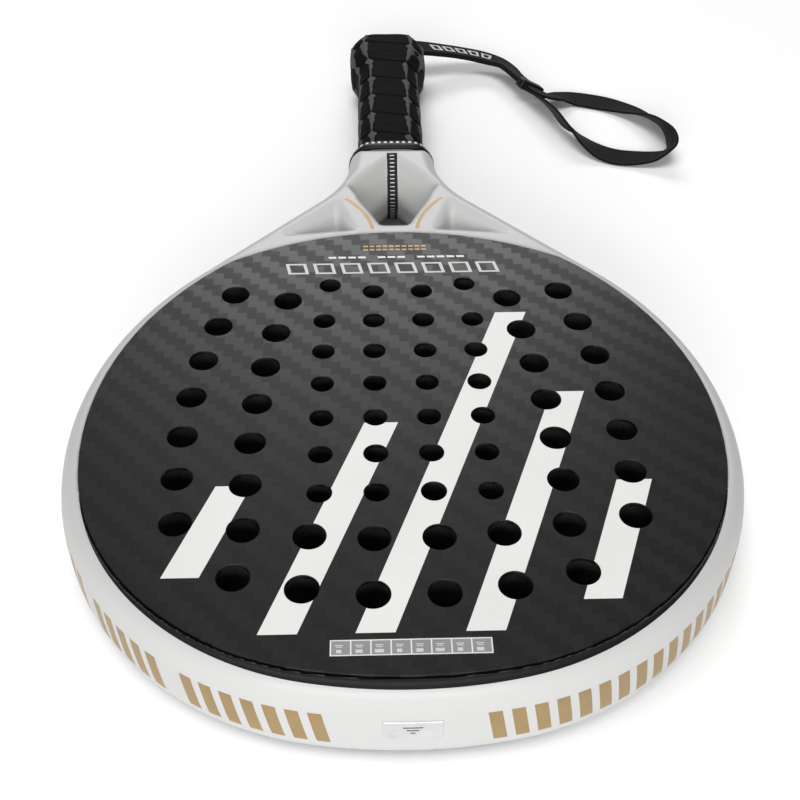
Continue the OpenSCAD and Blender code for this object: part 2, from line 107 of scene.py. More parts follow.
soft_box("box_beyond", (0.0, 2.2, 1.35), (0, 0, 0), (1.25, 0.6), 22)
soft_box("box_overhead", (-0.2, -0.3, 2.4), (0, 0, 0), (1.6, 1.3), 32)
soft_box("box_front", (-0.2, -2.2, 0.75), (0, 0, 0), (2.0, 0.9), 52)
world = bpy.data.worlds.new("studio")
bpy.context.scene.world = world
world.use_nodes = True
world.node_tree.nodes["Background"].inputs["Color"].default_value = (1, 1, 1, 1)
world.node_tree.nodes["Background"].inputs["Strength"].default_value = 0.17
bpy.context.scene.view_settings.view_transform = "Standard"

# ---- Wrist strap ----
# One length of woven webbing: two layers leave the butt together, run through
# the keeper and part into a loop. It lies flat, and rolls on edge at the bends.
butt_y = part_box("overgrip")[1][1]
webbing_width = 15 * mm
webbing_thickness = 1.4 * mm
# Routes as millimetres across, beyond the butt and up, and the roll in degrees.
stem_route = [(0, -6, 19, 0), (0, 2, 19, 0), (3, 8, 18.8, 0), (10, 12.5, 18.2, 0), (21, 15, 16.8, 2),
              (32, 17, 14.5, 4), (44, 19, 11.6, 6), (56, 19, 9, 8), (66, 15, 7.8, 14),
              (72.4, 8.4, 7.5, 25), (76, 0.8, 7.5, 33), (81, -9.7, 7.5, 33), (86, -20.2, 7.5, 33)]
loop_route = [(86.6, -20.6, 8.3, 33), (88.8, -24, 7.9, 27), (92.4, -25.8, 7, 20), (96.6, -25.2, 5.6, 13),
              (102, -22.4, 3.6, 6), (109, -20.6, 1.7, 2),
              (118, -22.6, 1.2, 0), (127, -26.2, 1.2, 0), (135.5, -31.6, 1.8, 6), (143, -39, 3, 14),
              (149, -49, 5, 30), (152.8, -60, 7.2, 52), (155, -71, 8, 76), (156, -80, 8, 100),
              (153.4, -86.2, 6.4, 136), (146, -88, 3.4, 164), (136, -87, 1.7, 176), (126, -85, 1.2, 180),
              (118, -81, 1.9, 174), (110.5, -74.5, 4.2, 156), (103.6, -65.5, 7.2, 134),
              (97.6, -54.5, 8.1, 118), (93.2, -43, 8.1, 124), (90, -33.5, 7.4, 136),
              (87.5, -26, 6.6, 144), (85.6, -21.2, 6.5, 147)]

class Route:
    """A smooth line through a route's points, with the webbing's own directions at each step."""
    def __init__(self, points, steps=12):
        p = np.array(points, float)
        p[:, 1] += butt_y / mm
        line = []
        for i in range(len(p) - 1):
            a, b, c, d = p[max(i - 1, 0)], p[i], p[i + 1], p[min(i + 2, len(p) - 1)]
            for t in np.arange(steps) / steps:
                line.append(0.5 * (2 * b + (c - a) * t + (2 * a - 5 * b + 4 * c - d) * t ** 2
                                   + (3 * b - a - 3 * c + d) * t ** 3))
        line = np.array(line + [p[-1]])
        self.line = line[:, :3] * mm
        self.far = np.concatenate([[0], np.cumsum(np.linalg.norm(np.diff(self.line, axis=0), axis=1))])
        along = np.gradient(self.line, axis=0)
        self.along = along / np.linalg.norm(along, axis=1)[:, None]
        side = np.cross([0, 0, 1.0], self.along)
        side /= np.linalg.norm(side, axis=1)[:, None]
        up = np.cross(self.along, side)
        roll = np.radians(line[:, 3])[:, None]
        self.normal = np.cos(roll) * up + np.sin(roll) * side
        self.across = np.cross(self.along, self.normal)

    def at(self, s, u, lift):
        """The point at distance s along, u across and lift above the webbing's middle."""
        pick = lambda values: np.array([np.interp(s, self.far, values[:, k]) for k in range(3)])
        return pick(self.line) + u * pick(self.across) + lift * pick(self.normal)

def closed_loft(name, rings, closed_path=False):
    """Skins a list of rings of points, all of one length, and caps the ends unless they meet."""
    rings = np.array(rings)
    count, size = rings.shape[:2]
    verts = rings.reshape(-1, 3)
    faces = []
    for k in range(count if closed_path else count - 1):
        a, b = k * size, (k + 1) % count * size
        faces += [(a + i, a + (i + 1) % size, b + (i + 1) % size, b + i) for i in range(size)]
    if not closed_path:
        faces += [tuple(range(size))[::-1], tuple(range((count - 1) * size, count * size))]
    piece = link_mesh(name, verts, faces)
    turn_outwards(piece)
    return piece

def turn_outwards(piece):
    work = bmesh.new()
    work.from_mesh(piece.data)
    bmesh.ops.recalc_face_normals(work, faces=work.faces)
    if work.calc_volume(signed=True) < 0:
        bmesh.ops.reverse_faces(work, faces=work.faces)
    work.to_mesh(piece.data)
    work.free()

def webbing_section(layers):
    """Half of a flat section with a thicker woven edge, then its mirror image; u across, lift up."""
    half = webbing_width / 2
    thick = webbing_thickness / 2
    top = [(half * f, thick * h) for f, h in
           ((1, 0.2), (0.985, 0.72), (0.95, 0.98), (0.9, 1), (0.86, 0.84), (0.6, 0.86), (0.3, 0.88),
            (0, 0.9))]
    top += [(-u, h) for u, h in top[-2::-1]]
    if layers == 1:
        return top + [(u, -h) for u, h in top[::-1]]
    upper = [(u, h + thick) for u, h in top]
    notch = [(-half * 0.975, 0)]
    lower = [(u, -h - thick) for u, h in top[::-1]]
    return upper + notch + lower + [(half * 0.975, 0)]

def ribbon(name, route, layers):
    section = webbing_section(layers)
    rings = [[route.line[k] + u * route.across[k] + h * route.normal[k] for u, h in section]
             for k in range(len(route.line))]
    piece = closed_loft(name, rings)
    layer = piece.data.uv_layers.new(name="weave")
    size = len(section)
    for loop in piece.data.loops:
        k, i = divmod(loop.vertex_index, size)
        layer.data[loop.index].uv = (section[i][0] / mm, route.far[k] / mm)
    return piece

def math_node(nodes, links, operation, first, second=None, third=None):
    node = nodes.new("ShaderNodeMath")
    node.operation = operation
    for socket, value in zip(node.inputs, (first, second, third)):
        if value is None:
            continue
        if isinstance(value, (int, float)):
            socket.default_value = value
        else:
            links.new(value, socket)
    return node.outputs[0]

def mix_colour(nodes, links, mask, low, high):
    node = nodes.new("ShaderNodeMix")
    node.data_type = "RGBA"
    for socket, value in ((node.inputs["Factor"], mask), (node.inputs[6], low), (node.inputs[7], high)):
        if isinstance(value, tuple):
            socket.default_value = (*value, 1)
        elif isinstance(value, (int, float)):
            socket.default_value = value
        else:
            links.new(value, socket)
    return node.outputs[2]

def add_bump(nodes, links, shader, height, strength, distance):
    bump = nodes.new("ShaderNodeBump")
    bump.inputs["Strength"].default_value = strength
    bump.inputs["Distance"].default_value = distance
    links.new(height, bump.inputs["Height"])
    links.new(bump.outputs["Normal"], shader.inputs["Normal"])

def webbing_material():
    material, nodes, links, shader = new_material("woven_webbing", 0.8, specular=0.1)
    uv = nodes.new("ShaderNodeUVMap")
    uv.uv_map = "weave"
    split = nodes.new("ShaderNodeSeparateXYZ")
    links.new(uv.outputs["UV"], split.inputs[0])
    across, along = split.outputs[0], split.outputs[1]
    thread = 0.75
    column = math_node(nodes, links, "FLOOR", math_node(nodes, links, "DIVIDE", across, thread))
    shift = math_node(nodes, links, "MULTIPLY", column, 0.5)
    row = math_node(nodes, links, "ADD", math_node(nodes, links, "DIVIDE", along, thread * 1.6), shift)
    hump_a = math_node(nodes, links, "PINGPONG", row, 0.5)
    hump_b = math_node(nodes, links, "PINGPONG", math_node(nodes, links, "DIVIDE", across, thread), 0.5)
    height = math_node(nodes, links, "MULTIPLY", hump_a, hump_b)
    colour = mix_colour(nodes, links, math_node(nodes, links, "MULTIPLY", height, 4.0),
                        (0.003, 0.003, 0.0035), (0.014, 0.014, 0.015))
    links.new(colour, shader.inputs["Base Color"])
    shader.inputs["Sheen Weight"].default_value = 0.04
    shader.inputs["Sheen Roughness"].default_value = 0.5
    add_bump(nodes, links, shader, height, 0.8, 0.0004)
    return material

webbing = webbing_material()
stem_line, loop_line = Route(stem_route), Route(loop_route)
strap_stem = ribbon("strap_stem_webbing", stem_line, 2)
strap_loop = ribbon("strap_loop_webbing", loop_line, 1)
for strap, node in ((strap_stem, "strap_stem"), (strap_loop, "strap_loop")):
    strap.data.materials.append(webbing)
    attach(strap, "racket")
    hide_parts(node)

# ---- Frame ----
# The head's rim, the two arms and the throat are one moulding of carbon and
# glass over a bladder, lacquered white. Scoops lighten the throat beside two
# ribs, and a V-shaped recess falls from the fork to the throat's opening.
tip_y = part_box("frame_tube")[0][1] / mm
fork_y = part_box("frame_tube")[1][1] / mm
head_w = 2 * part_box("frame_tube")[1][0] / mm
face_top_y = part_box("front_face")[1][1] / mm
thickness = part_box("front_face")[1][2] / mm
middle_z = thickness / 2
tip_r, side_r, fork_r, face_top_r = 198, 150, 60, 140
tip_angle, side_angle, arm_angle = (math.radians(a) for a in (10.3, 82.1, 132.5))
fork_half_w = 22
tube_w = 16
bevel_w = 8
bevel_power = 3.2               # how square the rim's shoulder is
face_ledge = 10                 # width of the ledge under the face's upper edge
skin_seat = 1.6                 # depth of the seats that the skins are bonded into
crest = middle_z - 0.4          # height of the frame's flat top over the middle plane

def outwards(angle):
    return np.array([math.sin(angle), -math.cos(angle)])

shoulder_r = ((head_w / 2 - side_r * (1 - math.sin(side_angle)) - tip_r * math.sin(tip_angle))
              / (math.sin(side_angle) - math.sin(tip_angle)))
tip_c = np.array([0, tip_y + tip_r])
shoulder_c = tip_c + (tip_r - shoulder_r) * outwards(tip_angle)
side_c = shoulder_c + (shoulder_r - side_r) * outwards(side_angle)
arm_n = outwards(arm_angle)
arm_t = np.array([math.cos(arm_angle), math.sin(arm_angle)])
arm_start = side_c + side_r * arm_n
arm_line = arm_start @ arm_n
fork_c = np.array([fork_half_w + fork_r, (arm_line + fork_r - arm_n[0] * (fork_half_w + fork_r)) / arm_n[1]])
arm_end = fork_c - fork_r * arm_n
face_top_c = face_top_y - face_top_r

def inset(x, y):
    """How far a point lies inside the outline, seen from above, in millimetres."""
    x = np.abs(x)
    def arc(c, r):
        return r - np.hypot(x - c[0], y - c[1])
    def angle(c):
        turn = np.arctan2(x - c[0], c[1] - y)
        return np.where(turn < -math.pi / 2, turn + 2 * math.pi, turn)
    d = np.where(angle(side_c) < arm_angle, arc(side_c, side_r), arm_line - x * arm_n[0] - y * arm_n[1])
    d = np.where(angle(shoulder_c) < side_angle, arc(shoulder_c, shoulder_r), d)
    d = np.where(angle(tip_c) < tip_angle, arc(tip_c, tip_r), d)
    past_arm = ((x - arm_end[0]) * arm_t[0] + (y - arm_end[1]) * arm_t[1] > 0) & (y > 0)
    d = np.where(past_arm, np.hypot(x - fork_c[0], y - fork_c[1]) - fork_r, d)
    return np.where((y > fork_c[1]) & past_arm, fork_half_w - x, d)

def soft_max(a, b, k):
    return np.maximum(a, b) + np.clip(k - np.abs(a - b), 0, None) ** 2 / (4 * k)

def soft_min(a, b, k):
    return -soft_max(-a, -b, k)

def beyond(x, y, start, end):
    """Distance from the line start-end to its right-hand side."""
    dx, dy = end[0] - start[0], end[1] - start[1]
    length = math.hypot(dx, dy)
    return ((x - start[0]) * dy - (y - start[1]) * dx) / length

# Half of the throat's plan: the opening's corners, and the scoop's.
opening_low, opening_side, opening_top = (6.3, 29), (16.5, 52), (2, 74)
scoop_inner, scoop_apex, scoop_outer = (14.6, 24.6), (25, 55), (57, 20)
ridge_y, ridge_turn, ridge_fall = fork_y - 6.5, math.radians(38.7), 1.73
recess_start = opening_side[1] - 8
strip_half = 2.6                # of the flat that the damper strip lies on
scoop_edge = 4.0                # depth at which a scoop starts to bite; it sets how round its rim is
scoop_depth = 17.5
rib_slope, rib_power, arm_slope, face_slope = 0.42, 1.6, 0.9, 3.4

def frame_field(x, y, z):
    """Negative inside the moulding; millimetres, roughly a distance near its surface."""
    ax, up = np.abs(x), np.abs(z - middle_z)
    edge = inset(x, y)
    top_r = np.hypot(x, y - face_top_c)
    round_edge = (up / crest) ** bevel_power + (np.clip(bevel_w - edge, 0, None) / bevel_w) ** 2
    field = (np.sqrt(round_edge) - 1) * bevel_w
    opening = np.maximum(beyond(ax, y, opening_low, opening_side), beyond(ax, y, opening_side, opening_top))
    opening = soft_max(opening, soft_max(opening_low[1] - y, y - opening_top[1], 1), 2)
    field = soft_max(field, -opening, 2.2)
    fall = -(np.clip(ax - strip_half, 0, None) * math.cos(ridge_turn) + (y - ridge_y) * math.sin(ridge_turn))
    recess = soft_max(beyond(ax, y, opening_low, opening_side), (crest - ridge_fall * fall - up) * 0.5, 1.2)
    recess = soft_max(recess, recess_start - y, 1)
    field = soft_max(field, -recess, 1.6)
    from_rib = np.clip(-beyond(ax, y, scoop_apex, scoop_inner), 0, None)
    from_arm = -beyond(ax, y, scoop_outer, scoop_apex)
    from_face = -beyond(ax, y, scoop_inner, scoop_outer)
    depth = soft_min(rib_slope * from_rib ** rib_power, arm_slope * from_arm, 5)
    depth = soft_min(soft_min(depth, face_slope * from_face, 4), scoop_depth, 4)
    scoop = (crest + scoop_edge - depth - up) * 0.6
    field = soft_max(field, -scoop, 0.6 * scoop_edge)
    head_void = np.maximum(tube_w - edge, top_r - (face_top_r - face_ledge))
    under_skin = np.maximum(np.maximum(bevel_w + 0.1 - edge, top_r - face_top_r), middle_z - skin_seat - up)
    field = np.maximum(field, np.maximum(-head_void, -under_skin))
    return soft_max(field, y - fork_y, 1)

def moulded(name, field, low, high, pitch):
    """A smooth closed mesh over field's zero surface: one point per mixed cell, then drawn onto it."""
    axes = [np.arange(a - pitch, b + 2 * pitch, pitch) for a, b in zip(low, high)]
    value = field(axes[0][:, None, None], axes[1][None, :, None], axes[2][None, None, :])
    inside = value < 0
    cells = np.zeros([n - 1 for n in inside.shape], np.int8)
    for dx in (0, 1):
        for dy in (0, 1):
            for dz in (0, 1):
                cells += inside[dx:dx + cells.shape[0], dy:dy + cells.shape[1], dz:dz + cells.shape[2]]
    mixed = (cells > 0) & (cells < 8)
    number = np.full(cells.shape, -1)
    number[mixed] = np.arange(mixed.sum())
    at = np.argwhere(mixed)
    points = np.stack([axes[k][at[:, k]] + pitch / 2 for k in range(3)], axis=1)
    nudge = 0.05
    for _ in range(6):
        here = field(*points.T)
        slope = np.stack([field(*(points + step).T) - field(*(points - step).T)
                          for step in np.eye(3) * nudge], axis=1) / (2 * nudge)
        move = here[:, None] * slope / np.maximum((slope ** 2).sum(axis=1), 0.05)[:, None]
        points -= np.clip(move, -pitch / 2, pitch / 2)
    faces = []
    for axis, (u, v) in enumerate(((1, 2), (2, 0), (0, 1))):
        low_side = [slice(1, -1)] * 3
        low_side[axis] = slice(0, -1)
        high_side = list(low_side)
        high_side[axis] = slice(1, None)
        a, b = inside[tuple(low_side)], inside[tuple(high_side)]
        spot = np.argwhere(a != b)
        outward = a[a != b]
        spot[:, u] += 1
        spot[:, v] += 1
        quad = []
        for du, dv in ((0, 0), (1, 0), (1, 1), (0, 1)):
            cell = spot.copy()
            cell[:, u] -= du
            cell[:, v] -= dv
            quad.append(number[tuple(cell.T)])
        quad = np.stack(quad, axis=1)
        faces.append(np.where(outward[:, None], quad, quad[:, ::-1]))
    return link_mesh(name, points * mm, np.concatenate(faces).tolist())

frame_shell = moulded("frame_moulding", frame_field, (-head_w / 2, tip_y, 0),
                      (head_w / 2, fork_y, thickness), pitch=1.3)
turn_outwards(frame_shell)

def surface_height(x, y):
    """Height of the moulding's upper surface above the floor, at points seen from above."""
    low, high = np.zeros_like(x) + 0.5, np.zeros_like(x) + crest + 1
    for _ in range(24):
        half = (low + high) / 2
        solid = frame_field(x, y, middle_z + half) < 0
        low, high = np.where(solid, half, low), np.where(solid, high, half)
    return middle_z + low

def fine_grain_group():
    """Speckle and fine bumps for a moulded or coated surface; Size is in millimetres."""
    group = bpy.data.node_groups.new("fine_grain", "ShaderNodeTree")
    for name in ("Size", "Contrast"):
        group.interface.new_socket(name, in_out="INPUT", socket_type="NodeSocketFloat")
    for name in ("Height", "Shade"):
        group.interface.new_socket(name, in_out="OUTPUT", socket_type="NodeSocketFloat")
    nodes, links = group.nodes, group.links
    source, result = nodes.new("NodeGroupInput"), nodes.new("NodeGroupOutput")
    place = nodes.new("ShaderNodeTexCoord")
    scale = math_node(nodes, links, "DIVIDE", 1000.0, source.outputs["Size"])
    fine, broad = nodes.new("ShaderNodeTexNoise"), nodes.new("ShaderNodeTexNoise")
    for noise, detail in ((fine, 3), (broad, 1)):
        noise.inputs["Detail"].default_value = detail
        links.new(place.outputs["Object"], noise.inputs["Vector"])
    links.new(scale, fine.inputs["Scale"])
    links.new(math_node(nodes, links, "DIVIDE", scale, 14.0), broad.inputs["Scale"])
    links.new(fine.outputs["Fac"], result.inputs["Height"])
    both = math_node(nodes, links, "ADD", math_node(nodes, links, "MULTIPLY", fine.outputs["Fac"], 0.4),
                     math_node(nodes, links, "MULTIPLY", broad.outputs["Fac"], 0.6))
    spread = math_node(nodes, links, "MULTIPLY", math_node(nodes, links, "SUBTRACT", both, 0.5),
                       source.outputs["Contrast"])
    shade = math_node(nodes, links, "ADD", spread, 0.5)
    shade.node.use_clamp = True
    links.new(shade, result.inputs["Shade"])
    return group

fine_grain = fine_grain_group()

def grained_material(name, dark, light, roughness, grain, bump, contrast=2.0, metallic=0.0, specular=0.5):
    """A finish whose colour runs from dark to light over a fine grain, with bumps to match."""
    material, nodes, links, shader = new_material(name, roughness, metallic, specular)
    group = nodes.new("ShaderNodeGroup")
    group.node_tree = fine_grain
    group.inputs["Size"].default_value = grain
    group.inputs["Contrast"].default_value = contrast
    links.new(mix_colour(nodes, links, group.outputs["Shade"], dark, light), shader.inputs["Base Color"])
    rough = math_node(nodes, links, "ADD", math_node(nodes, links, "MULTIPLY", group.outputs["Shade"], 0.12),
                      roughness - 0.06)
    links.new(rough, shader.inputs["Roughness"])
    add_bump(nodes, links, shader, group.outputs["Height"], bump, grain * 0.25 * mm)
    return material

def lacquer_material():
    """White lacquer, with the black bevel painted where the attribute band is above zero."""
    material = grained_material("white_lacquer", (0.47, 0.47, 0.465), (0.49, 0.49, 0.485),
                                0.45, 3.0, 0.0, 0.5, specular=0.2)
    nodes, links = material.node_tree.nodes, material.node_tree.links
    shader = nodes["Principled BSDF"]
    white = shader.inputs["Base Color"].links[0].from_socket
    band = nodes.new("ShaderNodeAttribute")
    band.attribute_name = "band"
    black = math_node(nodes, links, "GREATER_THAN", band.outputs["Fac"], 0.0)
    links.new(mix_colour(nodes, links, black, white, (0.004, 0.004, 0.0045)), shader.inputs["Base Color"])
    links.new(math_node(nodes, links, "MULTIPLY_ADD", black, -0.08, 0.09), shader.inputs["Coat Weight"])
    shader.inputs["Coat Roughness"].default_value = 0.08
    return material

band_width = 3.7                # of the black bevel at the tip; it narrows to nothing at the sides
band_end = math.radians(76)
points = np.empty(len(frame_shell.data.vertices) * 3)
frame_shell.data.vertices.foreach_get("co", points)
points = points.reshape(-1, 3) / mm
round_head = np.arctan2(np.abs(points[:, 0]), side_c[1] - points[:, 1])
width = band_width * (1 - (round_head / band_end) ** 2)
band = np.minimum(inset(points[:, 0], points[:, 1]), bevel_w) - (bevel_w - width)
frame_shell.data.attributes.new("band", "FLOAT", "POINT").data.foreach_set("value", band.astype(np.float32))
frame_shell.data.materials.append(lacquer_material())
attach(frame_shell, "racket")
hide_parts("frame_tube", "fork_crotch", "throat_bridge")

# ---- Faces ----
# Each face is a skin of coarse twill carbon under a satin clear coat, drilled
# through with the core; the edges of the holes are eased.
def carbon_material():
    material, nodes, links, shader = new_material("twill_carbon", 0.42, specular=0.24)
    place = nodes.new("ShaderNodeTexCoord")
    split = nodes.new("ShaderNodeSeparateXYZ")
    links.new(place.outputs["Object"], split.inputs[0])
    tow = 4.0 * mm
    column = math_node(nodes, links, "DIVIDE", split.outputs[0], tow)
    row = math_node(nodes, links, "DIVIDE", split.outputs[1], tow)
    steps = math_node(nodes, links, "ADD", math_node(nodes, links, "FLOOR", column),
                      math_node(nodes, links, "FLOOR", row))
    warp = math_node(nodes, links, "LESS_THAN", math_node(nodes, links, "FLOORED_MODULO", steps, 4.0), 1.5)
    fibre = []
    for stretch in ((180, 4000, 1), (4000, 180, 1)):
        mapping, noise = nodes.new("ShaderNodeMapping"), nodes.new("ShaderNodeTexNoise")
        mapping.inputs["Scale"].default_value = stretch
        links.new(place.outputs["Object"], mapping.inputs["Vector"])
        links.new(mapping.outputs[0], noise.inputs["Vector"])
        noise.inputs["Scale"].default_value = 1.0
        noise.inputs["Detail"].default_value = 2.0
        fibre.append(noise.outputs["Fac"])
    lines = nodes.new("ShaderNodeMix")
    links.new(warp, lines.inputs["Factor"])
    links.new(fibre[0], lines.inputs[2])
    links.new(fibre[1], lines.inputs[3])
    tint = math_node(nodes, links, "SUBTRACT", lines.outputs[0], 0.5)
    tint = math_node(nodes, links, "MULTIPLY", tint, 0.5)
    shade = math_node(nodes, links, "ADD", math_node(nodes, links, "MULTIPLY", warp, 0.6), tint)
    shade = math_node(nodes, links, "ADD", shade, 0.2)
    links.new(mix_colour(nodes, links, shade, (0.0006, 0.0006, 0.0007), (0.0165, 0.0172, 0.0178)),
              shader.inputs["Base Color"])
    links.new(math_node(nodes, links, "ADD", math_node(nodes, links, "MULTIPLY", warp, -0.1), 0.43),
              shader.inputs["Roughness"])
    add_bump(nodes, links, shader, lines.outputs[0], 0.12, 0.0002)
    return material

carbon = carbon_material()

def eased_copy(name, node, ease):
    """A CAD node's solid with its sharp edges eased, as a piece of its own."""
    work = bmesh.new()
    work.from_mesh(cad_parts[node].data)
    work.transform(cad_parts[node].matrix_world)
    bmesh.ops.remove_doubles(work, verts=work.verts, dist=2e-6)
    bmesh.ops.dissolve_limit(work, angle_limit=math.radians(2), verts=work.verts, edges=work.edges)
    sharp = [e for e in work.edges if len(e.link_faces) == 2 and e.calc_face_angle() > math.radians(60)]
    bmesh.ops.bevel(work, geom=sharp, offset=ease, segments=2, affect="EDGES", profile=0.5)
    bmesh.ops.triangulate(work, faces=[f for f in work.faces if len(f.verts) > 4])
    mesh = bpy.data.meshes.new(name)
    work.to_mesh(mesh)
    work.free()
    for face in mesh.polygons:
        face.use_smooth = abs(face.normal.z) < 0.99
    piece = bpy.data.objects.new(name, mesh)
    bpy.context.collection.objects.link(piece)
    return piece

def drilled_holes(node):
    """Centre and radius of each round hole through a CAD node, in metres."""
    work = bmesh.new()
    work.from_mesh(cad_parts[node].data)
    work.transform(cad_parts[node].matrix_world)
    bmesh.ops.remove_doubles(work, verts=work.verts, dist=2e-6)
    walls = {f for f in work.faces if abs(f.normal.z) < 0.1}
    found = []
    while walls:
        group, edge = set(), [walls.pop()]
        while edge:
            face = edge.pop()
            group.add(face)
            near = {g for e in face.edges for g in e.link_faces} & walls
            walls -= near
            edge += near
        place = np.array([v.co[:2] for f in group for v in f.verts])
        size = np.ptp(place, axis=0)
        if max(size) < 20 * mm and abs(size[0] - size[1]) < 0.5 * mm:
            found.append((*(place.max(axis=0) + place.min(axis=0)) / 2, max(size) / 2))
    work.free()
    return found

holes = drilled_holes("rear_face")
for node in ("front_face", "rear_face"):
    skin = eased_copy(node + "_skin", node, 0.22 * mm)
    skin.data.materials.append(carbon)
    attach(skin, "racket")
    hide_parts(node)

# ---- Core ----
# Black closed-cell foam fills the head and shows inside the holes.
def dress(node, material):
    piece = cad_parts[node]
    piece.data.materials.clear()
    piece.data.materials.append(material)

dress("foam_core", grained_material("cell_foam", (0.002, 0.002, 0.002), (0.014, 0.014, 0.014),
                                    0.9, 0.7, 0.6, 5.0, specular=0.15))

# ---- Printed pattern of the face ----
# White slanted bands, with rows of pale and gold dashes below the throat,
# printed on the skin and drilled with it.
face_z = thickness + 0.02
print_t = 0.04

def flat_prisms(name, outlines, low, high):
    """One mesh of flat prisms between two heights; outlines run anticlockwise, in millimetres."""
    verts, faces = [], []
    for outline in outlines:
        n, first = len(outline), len(verts)
        verts += [(x * mm, y * mm, low * mm) for x, y in outline]
        verts += [(x * mm, y * mm, high * mm) for x, y in outline]
        faces += [tuple(first + i for i in range(n))[::-1], tuple(first + n + i for i in range(n))]
        faces += [(first + i, first + (i + 1) % n, first + n + (i + 1) % n, first + n + i) for i in range(n)]
    return link_mesh(name, verts, faces, smooth=False)

def drill(piece, spare):
    """Cuts the face's holes out of a thin piece, a little wider than the holes."""
    verts, faces, sides = [], [], 48
    for x, y, r in holes:
        first = len(verts)
        for z in (thickness - 2, thickness + 2):
            verts += [(x + (r + spare) * math.cos(2 * math.pi * i / sides),
                       y + (r + spare) * math.sin(2 * math.pi * i / sides), z * mm) for i in range(sides)]
        faces += [tuple(first + i for i in range(sides))[::-1],
                  tuple(first + sides + i for i in range(sides))]
        faces += [(first + i, first + (i + 1) % sides, first + sides + (i + 1) % sides, first + sides + i)
                  for i in range(sides)]
    drills = link_mesh("drills", verts, faces, smooth=False)
    cut = piece.modifiers.new("drill", "BOOLEAN")
    cut.operation, cut.solver, cut.object = "DIFFERENCE", "EXACT", drills
    depsgraph = bpy.context.evaluated_depsgraph_get()
    mesh = bpy.data.meshes.new_from_object(piece.evaluated_get(depsgraph))
    piece.modifiers.clear()
    piece.data = mesh
    bpy.data.objects.remove(drills)

white_print = grained_material("white_print", (0.68, 0.68, 0.66), (0.74, 0.74, 0.72), 0.5, 2.0, 0.02)
pale_print = grained_material("pale_print", (0.5, 0.49, 0.46), (0.6, 0.59, 0.56), 0.5, 1.0, 0.02)
gold_print = grained_material("gold_print", (0.26, 0.17, 0.065), (0.33, 0.225, 0.095),
                              0.42, 1.0, 0.05, 2.0, 0.35)

def finish_print(piece, material):
    piece.data.materials.clear()
    piece.data.materials.append(material)
    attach(piece, "racket")

band_w = 13
lean = 0.36                     # how far the bands lean to the right for each step up
bands = [(-84, -178, -136), (-50, -202, -104), (-18, -202, -38), (18, -202, -88), (58, -190, -136)]
outlines = []
for x, low, high in bands:
    shift = lean * (high - low)
    outlines.append([(x, low), (x + band_w, low), (x + band_w + shift, high), (x + shift, high)])
stripes = flat_prisms("face_bands", outlines, face_z, face_z + print_t)
drill(stripes, 0.3 * mm)
finish_print(stripes, white_print)

def slanted(x, y, w, h, lean):
    return [(x, y), (x + w, y), (x + w + lean, y + h), (x + lean, y + h)]

def hollow(x, y, w, h, lean, line):
    """A slanted outline, as four strokes."""
    side = lean / h
    low = slanted(x, y, w, line, line * side)
    high = slanted(x + (h - line) * side, y + h - line, w, line, line * side)
    mid_h = h - 2 * line
    left = slanted(x + line * side, y + line, line * 1.4, mid_h, mid_h * side)
    right = slanted(x + line * side + w - line * 1.4, y + line, line * 1.4, mid_h, mid_h * side)
    return [low, high, left, right]

outlines = []
for i in range(8):
    outlines += hollow(-47.5 + 12 * i, -9.5, w=9, h=7.6, lean=-1.6, line=1.0)
header = flat_prisms("header_outlines", outlines, face_z, face_z + print_t)
finish_print(header, pale_print)
dashes = [slanted(-30 + 4.4 * i, 1.7, w=3.4, h=1.3, lean=-0.3) for i in range(14) if i not in (4, 8)]
finish_print(flat_prisms("header_dashes", dashes, face_z, face_z + print_t), white_print)
dashes = [slanted(-14.5 + 2.9 * i, y, w=2.1, h=1.2, lean=-0.2) for y in (7.4, 10) for i in range(10)]
finish_print(flat_prisms("gold_dashes", dashes, face_z, face_z + print_t), gold_print)

# ---- Label ----
# A strip of printed film near the tip, with eight grey cells in white borders.
low, high = (Vector(corner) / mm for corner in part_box("spec_label"))
cell_count, border = 8, 0.45
cell_w = (high.x - low.x - border) / cell_count
label = flat_prisms("label_film", [slanted(low.x, low.y, high.x - low.x, high.y - low.y, 0)],
                    low.z, thickness + 0.02)
cells, marks = [], []
for i in range(cell_count):
    x = low.x + border + i * cell_w
    cells.append(slanted(x, low.y + border, cell_w - border, high.y - low.y - 2 * border, 0))
    marks += [slanted(x + 1.2, low.y + 3.9, 2.6, 0.35, 0), slanted(x + 1.5, low.y + 3.2, 2.0, 0.35, 0)]
    marks.append(slanted(x + 1.6 - 0.3 * (i % 3), low.y + 1.1, 1.7 + 0.6 * (i % 3), 1.3, 0))
grey_cells = flat_prisms("label_cells", cells, thickness + 0.02, thickness + 0.04)
label_marks = flat_prisms("label_marks", marks, thickness + 0.04, thickness + 0.06)
finish_print(label, white_print)
finish_print(grey_cells, grained_material("grey_film", (0.2, 0.2, 0.21), (0.26, 0.26, 0.27), 0.5, 1.0, 0.02))
finish_print(label_marks, pale_print)
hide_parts("spec_label")

# ---- Rim print and badge ----
# Slanted gold bars run along both sides of the rim, and a thin metal badge is
# bonded on at the tip.
def rim_point(s, z, lift):
    """A point on the rim: s along the outline from the tip, z above the floor."""
    near, far = tip_angle * tip_r, tip_angle * tip_r + (side_angle - tip_angle) * shoulder_r
    t = abs(s)
    if t < near:
        angle, centre, r = t / tip_r, tip_c, tip_r
    elif t < far:
        angle, centre, r = tip_angle + (t - near) / shoulder_r, shoulder_c, shoulder_r
    else:
        angle, centre, r = side_angle + (t - far) / side_r, side_c, side_r
    rise = min(abs(z - middle_z) / crest, 1)
    sunk = bevel_w * (1 - math.sqrt(max(1 - rise ** bevel_power, 0)))
    x, y = centre + (r - sunk + lift) * outwards(angle)
    return (math.copysign(x, s) * mm, y * mm, z * mm)

